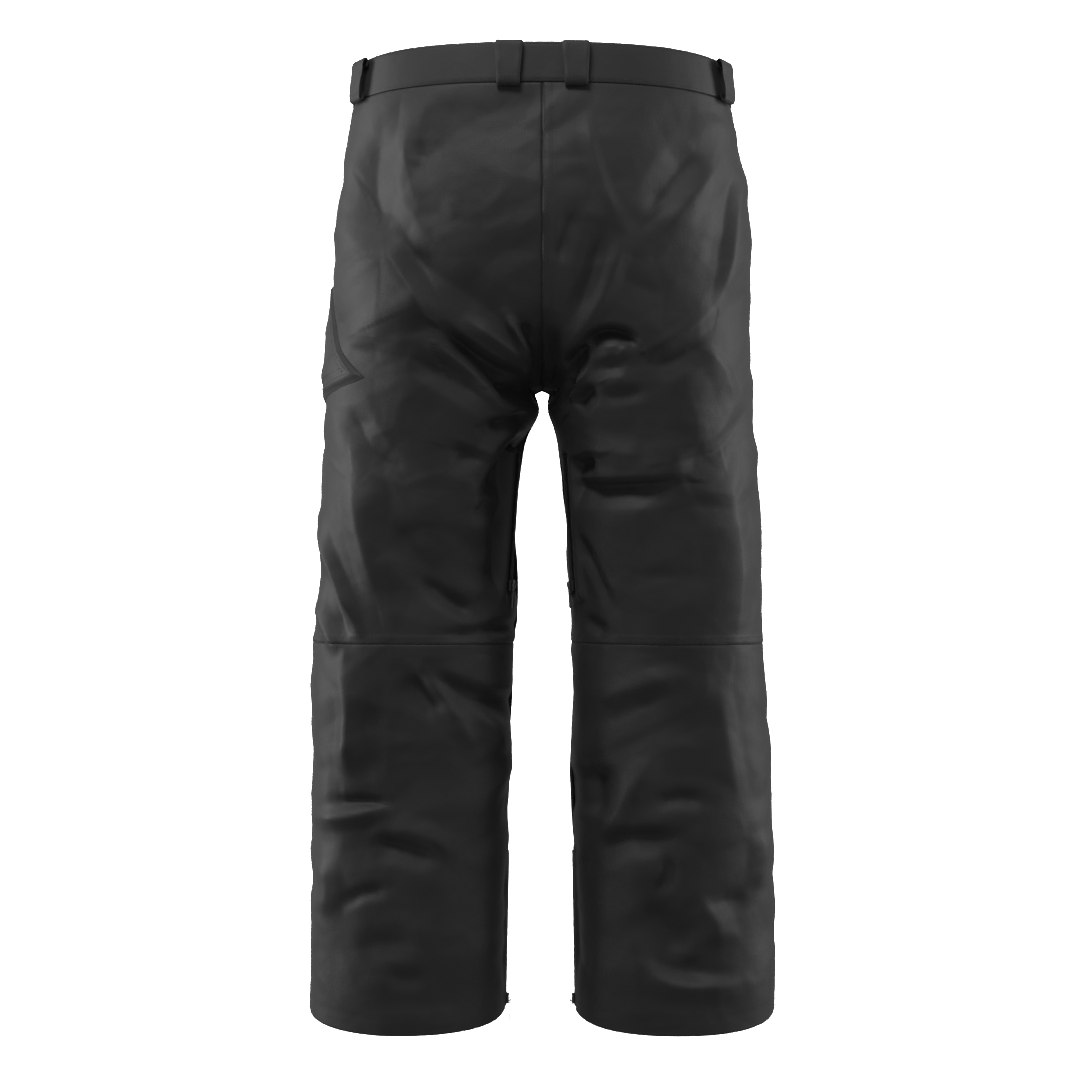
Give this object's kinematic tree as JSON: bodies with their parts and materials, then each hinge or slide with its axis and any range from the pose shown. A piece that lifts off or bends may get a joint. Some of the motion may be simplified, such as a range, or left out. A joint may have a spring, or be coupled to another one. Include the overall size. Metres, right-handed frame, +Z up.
{
  "type": "ski pants",
  "caption": "Straight insulated ski pants with belt loops, snap waist tab, zipped fly, hand and thigh pockets, thigh vents, ankle zips, scuff guards and inner boot gaiters.",
  "frame": {"origin": "centre of the waist opening, level with its back edge", "axes": "+Z up, +Y the way the wearer faces, +X to the wearer's right"},
  "size_m": [0.5104, 0.2651, 1.0603],
  "materials": {
    "shell": "matte woven nylon, water repellent",
    "guard": "coarse coated nylon weave",
    "facing": "brushed tricot",
    "pocketing": "knitted tricot",
    "gaiter": "light plain weave",
    "elastic": "ribbed elastic with a tacky inner face",
    "tape": "polyester tape with a nylon coil",
    "metal": "black enamelled zinc and brass"
  },
  "bodies": {
    "pants": {"waistband": "shell", "waist_facing": "facing", "waist_snap_1_stud": "metal", "waist_snap_2_stud": "metal", "waist_underlap": "shell", "fly_zip": "tape", "thigh_pocket_zip": "tape", "thigh_pocket": "shell", "left_hand_pocket_zip": "tape", "left_vent_zip": "tape", "left_back_upper": "shell", "left_front_upper": "shell", "left_pocket_bag": "pocketing", "left_back_loop": "shell", "left_side_loop": "shell", "left_front_loop": "shell", "right_hand_pocket_zip": "tape", "right_vent_zip": "tape", "right_back_upper": "shell", "right_front_upper": "shell", "right_pocket_bag": "pocketing", "right_back_loop": "shell", "right_side_loop": "shell", "right_front_loop": "shell"},
    "left_lower_leg": {"left_back_lower": "shell", "left_front_lower": "shell", "left_knee_pleat": "shell", "left_gaiter": "gaiter", "left_gaiter_cuff": "elastic", "left_lace_hook": "metal", "left_scuff_guard": "guard", "left_hem_zip": "tape"},
    "right_lower_leg": {"right_back_lower": "shell", "right_front_lower": "shell", "right_knee_pleat": "shell", "right_gaiter": "gaiter", "right_gaiter_cuff": "elastic", "right_lace_hook": "metal", "right_scuff_guard": "guard", "right_hem_zip": "tape"},
    "waist_tab": {"waist_tab": "shell", "waist_snap_1_cap": "metal", "waist_snap_2_cap": "metal"},
    "fly_slider": {"fly_slider": "metal"},
    "fly_pull": {"fly_pull": "metal"},
    "thigh_pocket_slider": {"thigh_pocket_slider": "metal"},
    "thigh_pocket_pull": {"thigh_pocket_pull": "metal"},
    "left_hand_pocket_slider": {"left_hand_pocket_slider": "metal"},
    "left_hand_pocket_pull": {"left_hand_pocket_pull": "metal"},
    "left_vent_slider": {"left_vent_slider": "metal"},
    "left_vent_pull": {"left_vent_pull": "metal"},
    "left_hem_slider": {"left_hem_slider": "metal"},
    "left_hem_pull": {"left_hem_pull": "metal"},
    "right_hand_pocket_slider": {"right_hand_pocket_slider": "metal"},
    "right_hand_pocket_pull": {"right_hand_pocket_pull": "metal"},
    "right_vent_slider": {"right_vent_slider": "metal"},
    "right_vent_pull": {"right_vent_pull": "metal"},
    "right_hem_slider": {"right_hem_slider": "metal"},
    "right_hem_pull": {"right_hem_pull": "metal"}
  },
  "joints": [
    {"name": "left_knee", "type": "hinge", "parent": "pants", "child": "left_lower_leg", "pos_m": [-0.138, -0.001, -0.64], "axis": [-1, 0, 0], "range_deg": [0, 70], "deforming": ["left_knee_pleat"]},
    {"name": "right_knee", "type": "hinge", "parent": "pants", "child": "right_lower_leg", "pos_m": [0.138, -0.001, -0.64], "axis": [-1, 0, 0], "range_deg": [0, 70], "deforming": ["right_knee_pleat"]},
    {"name": "waist_tab_hinge", "type": "hinge", "parent": "pants", "child": "waist_tab", "pos_m": [-0.04, 0.10816, -0.05009], "axis": [0, -0.0515, 0.9987], "range_deg": [0, 120]},
    {"name": "fly_slide", "type": "slide", "parent": "pants", "child": "fly_slider", "axis": [0, 0.0465, -0.9989], "range_m": [0, 0.1059]},
    {"name": "fly_pull_swing", "type": "hinge", "parent": "fly_slider", "child": "fly_pull", "pos_m": [0, 0.11497, -0.08037], "axis": [1, 0, 0], "range_deg": [0, 120]},
    {"name": "thigh_pocket_slide", "type": "slide", "parent": "pants", "child": "thigh_pocket_slider", "axis": [-0.0235, 0.1924, -0.981], "range_m": [0, 0.0897]},
    {"name": "thigh_pocket_pull_swing", "type": "hinge", "parent": "thigh_pocket_slider", "child": "thigh_pocket_pull", "pos_m": [-0.23453, 0.02326, -0.27691], "axis": [0.2353, 0.9548, 0.1817], "range_deg": [0, 120]},
    {"name": "left_hand_pocket_slide", "type": "slide", "parent": "pants", "child": "left_hand_pocket_slider", "axis": [-0.2182, -0.2105, -0.9529], "range_m": [0, 0.1217]},
    {"name": "left_hand_pocket_pull_swing", "type": "hinge", "parent": "left_hand_pocket_slider", "child": "left_hand_pocket_pull", "pos_m": [-0.1927, 0.05894, -0.09144], "axis": [0.4676, 0.8345, -0.2915], "range_deg": [0, 120]},
    {"name": "left_vent_slide", "type": "slide", "parent": "pants", "child": "left_vent_slider", "axis": [0.0683, -0.0715, 0.9951], "range_m": [0, 0.1324]},
    {"name": "left_vent_pull_swing", "type": "hinge", "parent": "left_vent_slider", "child": "left_vent_pull", "pos_m": [-0.02985, -0.04284, -0.57624], "axis": [-0.347, -0.9369, -0.0435], "range_deg": [0, 45]},
    {"name": "left_hem_slide", "type": "slide", "parent": "left_lower_leg", "child": "left_hem_slider", "axis": [0.0175, 0.0101, 0.9998], "range_m": [0, 0.1536]},
    {"name": "left_hem_pull_swing", "type": "hinge", "parent": "left_hem_slider", "child": "left_hem_pull", "pos_m": [-0.03342, -0.0049, -1.02985], "axis": [0, -0.9999, 0.0101], "range_deg": [0, 120]},
    {"name": "right_hand_pocket_slide", "type": "slide", "parent": "pants", "child": "right_hand_pocket_slider", "axis": [0.2182, -0.2105, -0.9529], "range_m": [0, 0.1217]},
    {"name": "right_hand_pocket_pull_swing", "type": "hinge", "parent": "right_hand_pocket_slider", "child": "right_hand_pocket_pull", "pos_m": [0.1927, 0.05894, -0.09144], "axis": [0.4676, -0.8345, 0.2915], "range_deg": [0, 120]},
    {"name": "right_vent_slide", "type": "slide", "parent": "pants", "child": "right_vent_slider", "axis": [-0.0683, -0.0715, 0.9951], "range_m": [0, 0.1324]},
    {"name": "right_vent_pull_swing", "type": "hinge", "parent": "right_vent_slider", "child": "right_vent_pull", "pos_m": [0.02985, -0.04284, -0.57624], "axis": [-0.347, 0.9369, 0.0435], "range_deg": [0, 45]},
    {"name": "right_hem_slide", "type": "slide", "parent": "right_lower_leg", "child": "right_hem_slider", "axis": [-0.0175, 0.0101, 0.9998], "range_m": [0, 0.1536]},
    {"name": "right_hem_pull_swing", "type": "hinge", "parent": "right_hem_slider", "child": "right_hem_pull", "pos_m": [0.03342, -0.0049, -1.02985], "axis": [0, 0.9999, -0.0101], "range_deg": [0, 120]}
  ]
}
